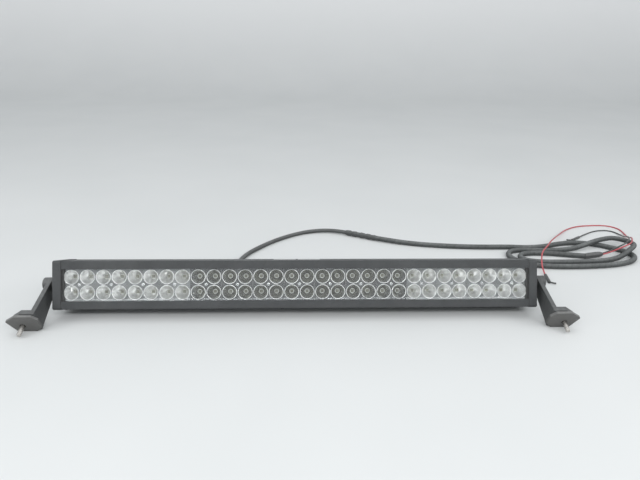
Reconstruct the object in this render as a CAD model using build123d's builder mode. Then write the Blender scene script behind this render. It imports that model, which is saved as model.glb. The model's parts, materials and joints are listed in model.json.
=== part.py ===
from build123d import *
from math import acos, atan2, cos, degrees, hypot, pi, radians, sin, tan
import os

# LED light bar: two rows of lamps in an extruded housing with cast end caps, carried by two
# swivel brackets. Millimetres. Every piece of the bar is drawn in the bar's own frame, x along
# the bar, y from the front face to the fins and z up from the underside. The bar then leans
# back on the table, on its rear lower edge and the feet of its two brackets.

# ---- driving dimensions ---------------------------------------------------------------------
# lamps
lamp_pitch = 26.0             # between lamp centres, along and across
module_count = 15             # reflector modules, each two lamps wide and two high
cup_mouth_r = 12.0
cup_throat_r = 4.0
cup_depth = 15.2
cup_wall = 0.8
reflector_plate = 1.5         # front plate of a reflector module
module_gap = 0.2              # between neighbouring modules
post_r = 4.2                  # screw post at the middle of a module
emitter_side = 5.0
emitter_base = 1.0
emitter_dome_r = 1.7

# housing section
bar_height = 80.0
lip_thickness = 3.0           # front lips that hold the lens
window_margin = 0.5           # window beyond the reflector field, above and below
lens_overlap = 3.0            # lens behind each lip
lens_thickness = 3.0
seal_thickness = 1.0
board_thickness = 1.6
board_gap = 1.0               # between the cup throats and the board
pad_thickness = 0.8           # thermal pad behind the boards
back_wall = 10.0
fin_depth = 29.0
fin_count = 9
fin_thickness = 2.4
fit_gap = 0.3                 # lens, boards and seals in the housing
channel_depth = 10.0          # hollow channels in the top and bottom walls
channel_height = 4.6
channel_inset = 3.0           # channel below the outer face
end_play = 0.5                # between the last module and the end of the housing

# end caps
cap_thickness = 14.0
cap_proud = 0.8               # cap beyond the housing section
cap_corner_r = 4.0
cap_edge_r = 2.0
gasket_thickness = 1.0
boss_r = 11.5                 # pivot boss on the cap
boss_height = 9.0
pivot_from_front = 32.0

# fasteners
screw_r = 2.0                 # end cap screws
screw_length = 26.0
screw_head_r = 3.8
screw_head_height = 2.4
screw_clearance = 0.15
screw_inset = 6.0             # screw centre from the top and bottom faces
small_screw_r = 1.5           # reflector screws
small_head_r = 3.0
small_head_height = 1.4
thread_bite = 7.0             # reflector screw in the back wall
pivot_bolt_r = 4.0
pivot_bolt_engagement = 11.0
pivot_head_r = 6.5
pivot_head_height = 5.0
pivot_socket_side = 5.0
pivot_socket_depth = 3.0
running_clearance = 0.05      # bracket eye on the pivot bolt
face_clearance = 0.05         # between the faces that slide on each other
washer_thickness = 1.5
washer_r = 7.0
spring_washer_thickness = 1.8
spring_washer_r = 6.4
bush_thickness = 1.5
bush_r = 11.0

# brackets
eye_r = 11.0
eye_length = 16.0
leg_thickness = 7.0
foot_half_width = 20.0        # foot plate across the leg
foot_outboard = 48.0          # foot plate beyond the end cap's face
foot_thickness = 8.0
foot_corner = 12.0            # cut corners at the foot's free end, across the leg
foot_corner_length = 16.0     # and along the foot
foot_reach = 84.6             # pivot to the underside of the rubber foot pad
rubber_thickness = 5.0
rubber_inner = 6.0            # rubber pad, from the end cap's face
rubber_outer = 58.0
rubber_half_depth = 18.5
rubber_nose = -6.0            # the pad's pointed outer end, forward of its middle
rubber_front_slant = 18.0     # from the nose back to the front edge, along the pad
rubber_rear_slant = 12.0
rubber_corner = 9.0           # cut corners at the pad's inner end
stud_r = 4.0
stud_length = 18.0            # stud beyond the rubber pad
stud_outboard = 34.0
stud_back = 5.0               # stud behind the foot's middle
stud_chamfer = 0.8
groove_width = 1.0            # run-out of the stud's thread, at the pad
groove_depth = 0.5
stud_hole_clearance = 0.25
hex_head_width = 13.0
hex_head_height = 5.3
gusset_length = 8.0
gusset_thickness = 6.0

# rear fittings
gland_x = -135.0
vent_x = 135.0
gland_thread_r = 6.0
gland_hex = 17.0
gland_hex_height = 5.0
gland_collar_r = 6.6
gland_collar_height = 9.0
gland_nut_length = 14.0
gland_nut_overlap = 7.0       # nut over the collar
pocket_side_gap = 8.0         # fins cut away round a fitting
vent_r = 7.5
vent_height = 4.0
label_length = 38.5
label_width = 24.0
label_thickness = 0.2
label_gap = 4.0
label_centre = -4.5           # between the two labels, along the bar
label_from_rear = 4.0         # label's edge from the bar's rear edge

# stand
lean = 22.0                   # the bar leans back, degrees

# cord
lead_r = 4.5
loom_r = 5.5
joint_r = 7.0
boot_r = 6.5
wire_r = 1.5
terminal_r = 3.0
sleeve_length = 34.0
tab_length = 11.0
tab_r = 1.4
tab_bead_r = 1.9
terminal_chamfer = 0.6
coil_height = 18.0
coil_width = 26.0
coil_half_length = 150.0
coil_half_width = 68.0
coil_centre = (612.0, 250.0)
coil_turn = 8.0               # the hank lies slightly askew, degrees

# ---- worked out from the above -------------------------------------------------------------
module_pitch = 2 * lamp_pitch
housing_length = module_count * module_pitch + 2 * end_play
window_height = 2 * lamp_pitch + 2 * window_margin
lens_height = window_height + 2 * lens_overlap
cavity_height = lens_height + 2 * fit_gap
lens_front = lip_thickness + seal_thickness
plate_front = lens_front + lens_thickness
throat_y = plate_front + cup_depth
board_front = throat_y + board_gap
pad_front = board_front + board_thickness
wall_front = pad_front + pad_thickness
wall_rear = wall_front + back_wall
bar_depth = wall_rear + fin_depth
mid_z = bar_height / 2
half_housing = housing_length / 2
gasket_outer = half_housing + gasket_thickness
cap_outer = gasket_outer + cap_thickness
pivot_z = mid_z
module_x = [(i - (module_count - 1) / 2) * module_pitch for i in range(module_count)]
board_modules = module_count // 3
board_length = board_modules * module_pitch - fit_gap
cap_screw_spots = [(screw_y, screw_z)
                   for screw_y in (plate_front + channel_inset, wall_rear - 2 * screw_r)
                   for screw_z in (screw_inset - screw_r / 2, bar_height - screw_inset + screw_r / 2)]
eye_inner = cap_outer + boss_height + bush_thickness + face_clearance
counterbore_floor = eye_inner + leg_thickness
SIDES = (("left", -1), ("right", 1))

# stand: heights above the table, with the cap's rear lower corner and the pad's rear edge on it
corner_y = bar_depth + cap_proud - cap_corner_r
corner_z = cap_corner_r - cap_proud
table_offset = cap_corner_r - corner_z * cos(radians(lean)) + corner_y * sin(radians(lean))
pivot_height = pivot_z * cos(radians(lean)) - pivot_from_front * sin(radians(lean)) + table_offset
foot_diagonal = hypot(foot_reach, rubber_half_depth)
foot_spread = degrees(acos(pivot_height / foot_diagonal) + atan2(rubber_half_depth, foot_reach))

pieces = {}                   # name -> (part, where it stands): "bar", "leg" or "table"


def keep(built, name, where="bar"):
    """Label a finished piece and note which frame it was drawn in."""
    built.part.label = name
    pieces[name] = (built.part, where)


def across(x):
    """Plane square to the bar at x: its own x runs rearward and its own y runs up."""
    return Plane(origin=(x, 0, 0), x_dir=(0, 1, 0), z_dir=(1, 0, 0))


def facing(y):
    """Plane parallel to the front face at depth y: x along the bar, y up, normal forward."""
    return Plane(origin=(0, y, 0), x_dir=(1, 0, 0), z_dir=(0, -1, 0))


# ---- housing: extruded section with lips, cavity, channels and rear fins ---------------------
fin_pitch = (bar_height - fin_thickness) / (fin_count - 1)
pocket_half = gland_hex / 2 + pocket_side_gap
with BuildPart() as housing:
    with BuildSketch(across(-half_housing)) as housing_section:
        with Locations((wall_rear / 2, mid_z)):
            Rectangle(wall_rear, bar_height)
        for fin in range(fin_count):
            with Locations((wall_rear + fin_depth / 2, fin_thickness / 2 + fin * fin_pitch)):
                Rectangle(fin_depth, fin_thickness)
        tips = housing_section.vertices().filter_by_position(Axis.Y, bar_depth - 0.1, bar_depth + 0.1)
        fillet(tips, fin_thickness * 0.35)
        corners = housing_section.vertices().filter_by_position(Axis.Y, -0.1, 0.1)
        fillet(corners, lip_thickness * 0.5)
        with Locations(((lip_thickness + wall_front) / 2, mid_z)):
            Rectangle(wall_front - lip_thickness, cavity_height, mode=Mode.SUBTRACT)
        with Locations((lip_thickness / 2, mid_z)):
            Rectangle(lip_thickness, window_height, mode=Mode.SUBTRACT)
        for channel_z in (channel_inset, bar_height - channel_inset - channel_height):
            with Locations((wall_front - channel_depth / 2, channel_z + channel_height / 2)):
                Rectangle(channel_depth, channel_height, mode=Mode.SUBTRACT)
    extrude(amount=housing_length)
    with BuildSketch(facing(wall_rear)):
        with Locations((gland_x, mid_z), (vent_x, mid_z)):
            RectangleRounded(2 * pocket_half, 2 * pocket_half, fin_thickness)
    extrude(amount=-2 * fin_depth, mode=Mode.SUBTRACT)
    with BuildSketch(facing(wall_rear)):
        with Locations((gland_x, mid_z), (vent_x, mid_z)):
            Circle(gland_thread_r + screw_clearance)
    extrude(amount=back_wall, mode=Mode.SUBTRACT)
    with BuildSketch(facing(wall_front)):
        with Locations(*[(x, mid_z) for x in module_x]):
            Circle(small_screw_r + screw_clearance)
    extrude(amount=-(thread_bite + 1), mode=Mode.SUBTRACT)
    for side, sign in SIDES:
        with BuildSketch(across(sign * half_housing)):
            with Locations(*cap_screw_spots):
                Circle(screw_r + screw_clearance)
        extrude(amount=-sign * screw_length, mode=Mode.SUBTRACT)
keep(housing, "housing")


# ---- end caps, gaskets and their screws ------------------------------------------------------
def cap_outline(proud):
    """The cap's outline, or with no overhang the gasket's, in the current sketch."""
    with Locations((bar_depth / 2, mid_z)):
        RectangleRounded(bar_depth + 2 * proud, bar_height + 2 * proud, cap_corner_r)


for side, sign in SIDES:
    with BuildPart() as gasket:
        with BuildSketch(across(sign * half_housing)):
            cap_outline(0)
            with Locations(((lip_thickness + wall_front) / 2, mid_z)):
                Rectangle(wall_front - lip_thickness - 2 * fit_gap, window_height, mode=Mode.SUBTRACT)
            with Locations(*cap_screw_spots):
                Circle(screw_r + screw_clearance, mode=Mode.SUBTRACT)
        extrude(amount=sign * gasket_thickness)
    keep(gasket, f"end_gasket_{side}")

    with BuildPart() as end_cap:
        with BuildSketch(across(sign * gasket_outer)):
            cap_outline(cap_proud)
        extrude(amount=sign * cap_thickness)
        rim = end_cap.faces().sort_by(Axis.X)[-1 if sign > 0 else 0].edges()
        fillet(rim, cap_edge_r)
        with BuildSketch(across(sign * cap_outer)):
            with Locations((pivot_from_front, pivot_z)):
                Circle(boss_r)
        extrude(amount=sign * boss_height)
        with BuildSketch(across(sign * (cap_outer + boss_height))):
            with Locations((pivot_from_front, pivot_z)):
                Circle(pivot_bolt_r + screw_clearance)
        extrude(amount=-sign * (pivot_bolt_engagement + boss_height), mode=Mode.SUBTRACT)
        with BuildSketch(across(sign * gasket_outer)):
            with Locations(*cap_screw_spots):
                Circle(screw_r + screw_clearance)
        extrude(amount=sign * cap_thickness, mode=Mode.SUBTRACT)
        with BuildSketch(across(sign * cap_outer)):
            with Locations(*cap_screw_spots):
                Circle(screw_head_r + fit_gap)
        extrude(amount=-sign * screw_head_height, mode=Mode.SUBTRACT)
    keep(end_cap, f"end_cap_{side}")

    with BuildPart() as cap_screws:
        with BuildSketch(across(sign * (cap_outer - screw_head_height))):
            with Locations(*cap_screw_spots):
                Circle(screw_r)
        extrude(amount=-sign * (screw_length + gasket_thickness))
        with BuildSketch(across(sign * (cap_outer - screw_head_height))):
            with Locations(*cap_screw_spots):
                Circle(screw_head_r)
        extrude(amount=sign * screw_head_height)
        fillet(cap_screws.faces().sort_by(Axis.X)[-1 if sign > 0 else 0].edges(), 0.5)
        with BuildSketch(across(sign * cap_outer)):
            with Locations(*cap_screw_spots):
                RegularPolygon(screw_r * 0.75, 6)
        extrude(amount=-sign * screw_head_height * 0.6, mode=Mode.SUBTRACT)
    keep(cap_screws, f"end_cap_screws_{side}")

# ---- lens and its seal, behind the lips ------------------------------------------------------
lens_length = housing_length - 2 * fit_gap
with BuildPart() as front_lens:
    with BuildSketch(facing(lens_front)):
        with Locations((0, mid_z)):
            Rectangle(lens_length, lens_height)
    extrude(amount=-lens_thickness)
keep(front_lens, "front_lens")

with BuildPart() as lens_seal:
    with BuildSketch(facing(lip_thickness)):
        with Locations((0, mid_z)):
            Rectangle(lens_length, lens_height)
            Rectangle(lens_length - 2 * lens_overlap, window_height + fit_gap, mode=Mode.SUBTRACT)
    extrude(amount=-seal_thickness)
keep(lens_seal, "lens_seal")


# ---- reflector modules: a plate with four cups and a screw post -----------------------------
def cup_profile(grow):
    """Half section of a cup on its axis, mouth forward: a parabola, grown by a wall."""
    focus = (cup_mouth_r**2 - cup_throat_r**2) / (4 * cup_depth)
    middle_r = (cup_mouth_r + cup_throat_r) / 2
    middle_depth = cup_depth - (middle_r**2 - cup_throat_r**2) / (4 * focus)
    with BuildLine() as half:
        bowl = ThreePointArc((cup_mouth_r + grow, 0), (middle_r + grow, middle_depth),
                             (cup_throat_r + grow, cup_depth))
        Polyline(bowl @ 1, (0, cup_depth), (0, 0), bowl @ 0)
    make_face(half.edges())


module_side = module_pitch - module_gap
for i, centre_x in enumerate(module_x):
    cup_spots = [(centre_x + dx, mid_z + dz) for dx in (-lamp_pitch / 2, lamp_pitch / 2)
                 for dz in (-lamp_pitch / 2, lamp_pitch / 2)]
    with BuildPart() as reflector:
        with BuildSketch(facing(plate_front)):
            with Locations((centre_x, mid_z)):
                Rectangle(module_side, lens_height)
        extrude(amount=-reflector_plate)
        with BuildSketch(facing(plate_front)):
            with Locations((centre_x, mid_z)):
                Circle(post_r)
        extrude(amount=-(cup_depth + board_gap))
        for grow, mode in ((cup_wall, Mode.ADD), (0, Mode.SUBTRACT)):
            for cup_x, cup_z in cup_spots:
                with BuildSketch(Plane.XY.move(Location((cup_x, plate_front, cup_z)))):
                    cup_profile(grow)
                revolve(axis=Axis((cup_x, plate_front, cup_z), (0, 1, 0)), mode=mode)
        with BuildSketch(facing(plate_front)):
            with Locations((centre_x, mid_z)):
                Circle(small_screw_r + screw_clearance)
        extrude(amount=-(cup_depth + board_gap), mode=Mode.SUBTRACT)
        with BuildSketch(facing(plate_front)):
            with Locations((centre_x, mid_z)):
                Circle(small_head_r + fit_gap)
        extrude(amount=-(small_head_height + fit_gap), mode=Mode.SUBTRACT)
    keep(reflector, f"reflector_{i + 1:02d}")

with BuildPart() as reflector_screws:
    head_seat = plate_front + small_head_height + fit_gap
    with BuildSketch(facing(head_seat)):
        with Locations(*[(x, mid_z) for x in module_x]):
            Circle(small_screw_r)
    extrude(amount=-(wall_front + thread_bite - head_seat))
    with BuildSketch(facing(head_seat)):
        with Locations(*[(x, mid_z) for x in module_x]):
            Circle(small_head_r)
    extrude(amount=small_head_height)
keep(reflector_screws, "reflector_screws")

# ---- LED boards, emitters and thermal pad ----------------------------------------------------
lead_hole_r = 3.0
board_height = lens_height - fit_gap
for name, offset in (("left", -1), ("centre", 0), ("right", 1)):
    board_x = offset * board_modules * module_pitch
    with BuildPart() as led_board:
        with BuildSketch(facing(board_front)):
            with Locations((board_x, mid_z)):
                Rectangle(board_length, board_height)
            with Locations(*[(x, mid_z) for x in module_x]):
                Circle(small_screw_r + screw_clearance, mode=Mode.SUBTRACT)
            with Locations((gland_x, mid_z)):
                Circle(lead_hole_r, mode=Mode.SUBTRACT)
        extrude(amount=-board_thickness)
    keep(led_board, f"led_board_{name}")

emitter_spots = [(x + dx, mid_z + dz) for x in module_x for dx in (-lamp_pitch / 2, lamp_pitch / 2)
                 for dz in (-lamp_pitch / 2, lamp_pitch / 2)]
with BuildPart() as led_emitters:
    with BuildSketch(facing(board_front)):
        with Locations(*emitter_spots):
            RectangleRounded(emitter_side, emitter_side, emitter_base / 2)
    extrude(amount=emitter_base)
    with BuildSketch(facing(board_front - emitter_base)):
        with Locations(*emitter_spots):
            Circle(emitter_dome_r)
    extrude(amount=emitter_dome_r * 0.7)
    fillet(led_emitters.faces().sort_by(Axis.Y)[:len(emitter_spots)].edges(), emitter_dome_r * 0.5)
keep(led_emitters, "led_emitters")

with BuildPart() as thermal_pad:
    with BuildSketch(facing(pad_front)):
        with Locations((0, mid_z)):
            Rectangle(housing_length - 2 * end_play, board_height)
        with Locations(*[(x, mid_z) for x in module_x]):
            Circle(small_screw_r + screw_clearance, mode=Mode.SUBTRACT)
        with Locations((gland_x, mid_z)):
            Circle(lead_hole_r, mode=Mode.SUBTRACT)
    extrude(amount=-pad_thickness)
keep(thermal_pad, "thermal_pad")

# ---- cable gland, vent plug and the two supply conductors -----------------------------------
conductor_r = 0.9
gland_nut_start = wall_rear + gland_hex_height + gland_collar_height - gland_nut_overlap
gland_exit = gland_nut_start + gland_nut_length
with BuildPart() as gland_body:
    with BuildSketch(facing(wall_rear)):
        with Locations((gland_x, mid_z)):
            Circle(gland_thread_r)
    extrude(amount=back_wall)
    with BuildSketch(facing(wall_rear)):
        with Locations((gland_x, mid_z)):
            RegularPolygon(gland_hex / 2, 6, major_radius=False)
    extrude(amount=-gland_hex_height)
    with BuildSketch(facing(wall_rear + gland_hex_height)):
        with Locations((gland_x, mid_z)):
            Circle(gland_collar_r)
    extrude(amount=-gland_collar_height)
    with BuildSketch(facing(wall_front)):
        with Locations((gland_x, mid_z)):
            Circle(lead_hole_r)
    extrude(amount=-(back_wall + gland_hex_height + gland_collar_height), mode=Mode.SUBTRACT)
keep(gland_body, "gland_body")

with BuildPart() as gland_nut:
    with BuildSketch(facing(gland_nut_start)):
        with Locations((gland_x, mid_z)):
            RegularPolygon(gland_hex / 2, 6, major_radius=False)
    extrude(amount=-gland_nut_overlap)
    with BuildSketch(facing(gland_nut_start + gland_nut_overlap)):
        with Locations((gland_x, mid_z)):
            Circle(gland_hex / 2)
    extrude(amount=-(gland_nut_length - gland_nut_overlap), taper=12)
    with BuildSketch(facing(gland_nut_start)):
        with Locations((gland_x, mid_z)):
            Circle(gland_collar_r + screw_clearance)
    extrude(amount=-gland_nut_overlap, mode=Mode.SUBTRACT)
    with BuildSketch(facing(gland_nut_start)):
        with Locations((gland_x, mid_z)):
            Circle(lead_r + screw_clearance)
    extrude(amount=-gland_nut_length, mode=Mode.SUBTRACT)
keep(gland_nut, "gland_nut")

with BuildPart() as gland_seal:
    with BuildSketch(facing(gland_nut_start + gland_nut_overlap)):
        with Locations((gland_x, mid_z)):
            Circle(lead_r)
            Circle(lead_hole_r, mode=Mode.SUBTRACT)
    extrude(amount=-(gland_nut_length - gland_nut_overlap) / 2)
keep(gland_seal, "gland_seal")

with BuildPart() as vent_plug:
    with BuildSketch(facing(wall_rear)):
        with Locations((vent_x, mid_z)):
            Circle(gland_thread_r)
    extrude(amount=back_wall)
    with BuildSketch(facing(wall_rear)):
        with Locations((vent_x, mid_z)):
            Circle(vent_r)
    extrude(amount=-vent_height)
    fillet(vent_plug.faces().sort_by(Axis.Y)[-1].edges(), vent_height * 0.3)
keep(vent_plug, "vent_plug")

lead_start = gland_nut_start + gland_nut_overlap + (gland_nut_length - gland_nut_overlap) / 2
with BuildPart() as supply_conductors:
    with BuildSketch(facing(board_front)):
        with Locations((gland_x, mid_z - 1.5 * conductor_r), (gland_x, mid_z + 1.5 * conductor_r)):
            Circle(conductor_r)
    extrude(amount=-(lead_start - board_front))
keep(supply_conductors, "supply_conductors")

# ---- blank labels on the top face ------------------------------------------------------------
with BuildPart() as blank_labels:
    with BuildSketch(Plane.XY.offset(bar_height)):
        for step in (-1, 1):
            label_x = label_centre + step * (label_length + label_gap) / 2
            with Locations((label_x, bar_depth - label_from_rear - label_width / 2)):
                RectangleRounded(label_length, label_width, 1.0)
    extrude(amount=label_thickness)
keep(blank_labels, "blank_labels")


# ---- swivel brackets: pivot hardware on the bar, bracket, rubber pad and foot bolt ----------
def ring(name, sign, start, thickness, outer_r, inner_r, where="bar"):
    """A washer or bush on the pivot axis, from one outboard position to the next."""
    with BuildPart() as washer:
        with BuildSketch(across(sign * start)):
            with Locations((pivot_from_front, pivot_z)):
                Circle(outer_r)
                Circle(inner_r, mode=Mode.SUBTRACT)
        extrude(amount=sign * thickness)
    keep(washer, name, where)


washer_start = counterbore_floor + face_clearance
spring_start = washer_start + washer_thickness
head_start = spring_start + spring_washer_thickness
plate_top = foot_reach - rubber_thickness - foot_thickness
plate_bottom = foot_reach - rubber_thickness
for side, sign in SIDES:
    ring(f"pivot_bush_{side}", sign, cap_outer + boss_height, bush_thickness, bush_r,
         pivot_bolt_r + screw_clearance)
    ring(f"pivot_washer_{side}", sign, washer_start, washer_thickness, washer_r,
         pivot_bolt_r + screw_clearance)

    with BuildPart() as spring_washer:
        with BuildSketch(across(sign * spring_start)):
            with Locations((pivot_from_front, pivot_z)):
                Circle(spring_washer_r)
                Circle(pivot_bolt_r + screw_clearance, mode=Mode.SUBTRACT)
            with Locations((pivot_from_front + spring_washer_r, pivot_z)):
                Rectangle(2 * spring_washer_r, 0.8, rotation=20, mode=Mode.SUBTRACT)
        extrude(amount=sign * spring_washer_thickness)
    keep(spring_washer, f"spring_washer_{side}")

    with BuildPart() as pivot_bolt:
        with BuildSketch(across(sign * head_start)):
            with Locations((pivot_from_front, pivot_z)):
                Circle(pivot_bolt_r)
        extrude(amount=-sign * (head_start - cap_outer + pivot_bolt_engagement - 1))
        with BuildSketch(across(sign * head_start)):
            with Locations((pivot_from_front, pivot_z)):
                Circle(pivot_head_r)
        extrude(amount=sign * pivot_head_height)
        outer_face = pivot_bolt.faces().sort_by(Axis.X)[-1 if sign > 0 else 0]
        fillet(outer_face.edges(), pivot_head_height * 0.3)
        with BuildSketch(across(sign * (head_start + pivot_head_height))):
            with Locations((pivot_from_front, pivot_z)):
                RegularPolygon(pivot_socket_side / 2, 6, major_radius=False)
        extrude(amount=-sign * pivot_socket_depth, mode=Mode.SUBTRACT)
    keep(pivot_bolt, f"pivot_bolt_{side}")

    # drawn with the leg hanging straight down from the pivot axis at y = z = 0
    with BuildPart() as bracket:
        with BuildSketch(across(sign * eye_inner)):
            with BuildLine():
                Polyline((-eye_r, 0), (-foot_half_width, -plate_bottom),
                         (foot_half_width, -plate_bottom), (eye_r, 0))
                ThreePointArc((eye_r, 0), (0, eye_r), (-eye_r, 0))
            make_face()
        extrude(amount=sign * leg_thickness)
        with BuildSketch(across(sign * eye_inner)):
            Circle(eye_r)
        extrude(amount=sign * eye_length)
        fillet(bracket.faces().sort_by(Axis.X)[-1 if sign > 0 else 0].edges(), 2.0)
        with BuildSketch(Plane.XY.offset(-plate_bottom)):
            with BuildLine():
                inner_x = sign * eye_inner
                outer_x = sign * (cap_outer + foot_outboard)
                cut_x = sign * (cap_outer + foot_outboard - foot_corner_length)
                Polyline((inner_x, -foot_half_width), (cut_x, -foot_half_width),
                         (outer_x, -foot_half_width + foot_corner), (outer_x, foot_half_width - foot_corner),
                         (cut_x, foot_half_width), (inner_x, foot_half_width), close=True)
            make_face()
        extrude(amount=foot_thickness)
        with BuildSketch(Plane(origin=(0, -gusset_thickness / 2, 0), x_dir=(1, 0, 0), z_dir=(0, -1, 0))):
            with BuildLine():
                root_x = sign * (eye_inner + leg_thickness)
                Polyline((root_x, -plate_top), (root_x + sign * gusset_length, -plate_top),
                         (root_x, -plate_top + gusset_length), close=True)
            make_face()
        extrude(amount=-gusset_thickness)
        with BuildSketch(across(sign * eye_inner)):
            Circle(pivot_bolt_r + running_clearance)
        extrude(amount=sign * eye_length, mode=Mode.SUBTRACT)
        with BuildSketch(across(sign * (eye_inner + eye_length))):
            Circle(washer_r + fit_gap)
        extrude(amount=-sign * (eye_length - leg_thickness), mode=Mode.SUBTRACT)
        with BuildSketch(Plane.XY.offset(-plate_bottom)):
            with Locations((sign * (cap_outer + stud_outboard), stud_back)):
                Circle(stud_r + stud_hole_clearance)
        extrude(amount=foot_thickness, mode=Mode.SUBTRACT)
    keep(bracket, f"bracket_{side}", "leg")

    with BuildPart() as foot_pad:
        with BuildSketch(Plane.XY.offset(-foot_reach)):
            with BuildLine():
                inner_x = sign * (cap_outer + rubber_inner)
                outer_x = sign * (cap_outer + rubber_outer)
                Polyline((inner_x, -rubber_half_depth + rubber_corner),
                         (inner_x + sign * rubber_corner, -rubber_half_depth),
                         (outer_x - sign * rubber_front_slant, -rubber_half_depth),
                         (outer_x, rubber_nose),
                         (outer_x - sign * rubber_rear_slant, rubber_half_depth),
                         (inner_x + sign * rubber_corner, rubber_half_depth),
                         (inner_x, rubber_half_depth - rubber_corner), close=True)
            make_face()
        extrude(amount=rubber_thickness)
        fillet(foot_pad.edges().filter_by(Axis.Z), 2.5)
        with BuildSketch(Plane.XY.offset(-foot_reach)):
            with Locations((sign * (cap_outer + stud_outboard), stud_back)):
                Circle(stud_r + stud_hole_clearance)
        extrude(amount=rubber_thickness, mode=Mode.SUBTRACT)
    keep(foot_pad, f"foot_pad_{side}", "leg")

    with BuildPart() as foot_bolt:
        with BuildSketch(Plane.XY.offset(-plate_top)):
            with Locations((sign * (cap_outer + stud_outboard), stud_back)):
                RegularPolygon(hex_head_width / 2, 6, major_radius=False)
        extrude(amount=hex_head_height)
        with BuildSketch(Plane.XY.offset(-plate_top)):
            with Locations((sign * (cap_outer + stud_outboard), stud_back)):
                Circle(stud_r)
        extrude(amount=-(foot_thickness + rubber_thickness + stud_length))
        chamfer(foot_bolt.faces().sort_by(Axis.Z)[0].edges(), stud_chamfer)
        with BuildSketch(Plane.XY.offset(-foot_reach)):
            with Locations((sign * (cap_outer + stud_outboard), stud_back)):
                Circle(stud_r)
                Circle(stud_r - groove_depth, mode=Mode.SUBTRACT)
        extrude(amount=-groove_width, mode=Mode.SUBTRACT)
    keep(foot_bolt, f"foot_bolt_{side}", "leg")


# ---- stand: the bar leans back, its brackets spread forward until the pads touch the table ---
def standing(shift):
    """Where each drawing frame stands, moved along y by shift."""
    tilt = radians(lean)
    pivot_y = pivot_from_front * cos(tilt) + pivot_z * sin(tilt) + shift
    return {"bar": Location((0, shift, table_offset), (-lean, 0, 0)),
            "leg": Location((0, pivot_y, pivot_height), (-foot_spread, 0, 0))}


def spread_along_y(places):
    """Lowest and highest y of all the pieces where they stand."""
    boxes = [(places[where] * part).bounding_box() for part, where in pieces.values()]
    return min(box.min.Y for box in boxes), max(box.max.Y for box in boxes)


front_y, rear_y = spread_along_y(standing(0))
places = standing(-(front_y + rear_y) / 2)


def on_stand(y, z, x=0.0):
    """A point of the bar's own frame, in the standing frame."""
    return (places["bar"] * Location((x, y, z))).position


# ---- cord: a lead from the gland, a taped joint, a loom laid in a hank, and two thin wires ---
def corner_radii(points):
    """One radius a corner: 0.45 of its shorter run, over the tangent of half its turn."""
    radii = []
    for before, here, after in zip(points, points[1:], points[2:]):
        run_in = Vector(here) - Vector(before)
        run_out = Vector(after) - Vector(here)
        half_turn = radians(run_in.get_angle(run_out)) / 2
        radii.append(0.45 * min(run_in.length, run_out.length) / tan(half_turn))
    return radii


def tube(name, points, tube_r):
    """A round tube along straight runs joined by tangent arcs."""
    radii = corner_radii(points)
    with BuildPart() as cord:
        with BuildLine() as route:
            FilletPolyline(*points, radius=radii)
        path = route.wire()
        with BuildSketch(Plane(origin=path @ 0, z_dir=path % 0)):
            Circle(tube_r)
        sweep()
    keep(cord, name, "table")
    fill = cord.part.volume / (path.length * pi * tube_r**2)
    print(f"{name}: length {path.length:.0f}, volume over section x length {fill:.4f}")
    print(f"  radii {[round(r) for r in radii]}")


def rod(name, start, end, rod_r):
    """A straight round piece of the cord, its ends eased."""
    with BuildPart() as piece:
        axis = Vector(end) - Vector(start)
        with BuildSketch(Plane(origin=start, z_dir=axis)):
            Circle(rod_r)
        extrude(amount=axis.length)
        chamfer(piece.edges(), 0.8)
    keep(piece, name, "table")


lead_foot = on_stand(lead_start, mid_z, gland_x)
lead_out = on_stand(gland_exit + 44, mid_z, gland_x)
joint_start = (112, 372, joint_r)
joint_end = (180, 335, joint_r)
lead_points = [lead_foot, lead_out, (-134, 137, 6.5), (-131, 190, lead_r), (-115, 246, lead_r),
               (-83, 294, lead_r), (-45, 338, lead_r), (2, 374, lead_r), (44, 388, lead_r + 1),
               (84, 385, joint_r), joint_start]
tube("power_lead", [tuple(Vector(p)) for p in lead_points], lead_r)
rod("lead_joint", joint_start, joint_end, joint_r)
loom_points = [joint_end, (206, 322, joint_r), (252, 307, loom_r), (305, 295, loom_r),
               (362, 287.5, loom_r), (418, 284.5, loom_r), (470, 285.5, loom_r), (512, 281, loom_r)]
tube("loom", loom_points, loom_r)

hank = Plane(Location((*coil_centre, 0), (0, 0, coil_turn)))
with BuildPart() as loom_coil:
    with BuildSketch(hank):
        Ellipse(coil_half_length, coil_half_width)
        Ellipse(coil_half_length - coil_width, coil_half_width - coil_width, mode=Mode.SUBTRACT)
    extrude(amount=coil_height)
    fillet(loom_coil.faces().filter_by(Axis.Z).edges(), loom_r)
keep(loom_coil, "loom_coil", "table")

boot_start = (622, 230, boot_r)
boot_end = (668, 242, boot_r)
rod("loom_boot", boot_start, boot_end, boot_r)

# the wires leave the boot side by side and pass over the hank in long low humps
red_start = (668.4, 240.1, boot_r)
red_end = (498, 146, terminal_r)
red_points = [red_start, (683, 240, 10.5), (699, 238, 20), (717, 239, 25.5), (735, 250, 25.5),
              (751, 271, 25.5), (764, 297, 20), (780, 330, 6), (797, 372, wire_r), (803, 412, wire_r),
              (781, 433, wire_r), (742, 432, wire_r), (700, 424, wire_r), (660, 398, wire_r),
              (628, 362, 8), (600, 325, 22), (577, 292, 29), (558, 262, 28.5), (538, 234, 29),
              (517, 209, 28), (506, 187, 23), (501, 167, 8), red_end]
tube("red_wire", red_points, wire_r)
black_start = (667.6, 243.9, boot_r)
black_end = (672, 350, terminal_r)
black_points = [black_start, (682, 245, 10.5), (698, 244, 20), (715, 246, 25.5), (731, 257, 25.5),
                (746, 277, 25.5), (758, 303, 21), (772, 337, 5), (777, 371, wire_r), (764, 391, wire_r),
                (736, 390, wire_r), (702, 372, wire_r), black_end]
tube("black_wire", black_points, wire_r)


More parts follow.
